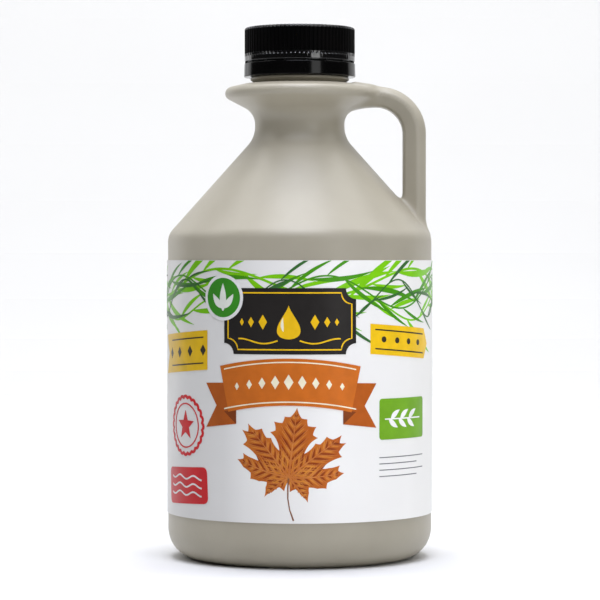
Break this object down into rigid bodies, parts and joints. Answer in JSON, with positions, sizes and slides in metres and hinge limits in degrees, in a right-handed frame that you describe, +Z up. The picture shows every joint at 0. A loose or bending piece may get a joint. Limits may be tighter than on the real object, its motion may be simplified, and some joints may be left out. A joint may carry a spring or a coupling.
{
  "type": "maple syrup jug",
  "caption": "Round blow-moulded syrup jug with a conical shoulder, flared collar and finger handle, shut by a ribbed screw cap with a tamper band and dressed in a wrap-round label.",
  "frame": {"origin": "centre of the jug's foot, on the surface it stands on", "axes": "+Z up along the jug's axis, towards the cap; +X towards the handle; -Y towards the viewer of the label's front"},
  "size_m": [0.1006, 0.1006, 0.2006],
  "materials": {
    "jug": "satin beige HDPE",
    "cap": "black polypropylene, semi-gloss",
    "tamper_band": "black polypropylene, semi-gloss",
    "label": null
  },
  "bodies": {
    "root": {"jug": "jug", "cap": "cap", "tamper_band": "tamper_band", "label": "label"}
  },
  "joints": []
}
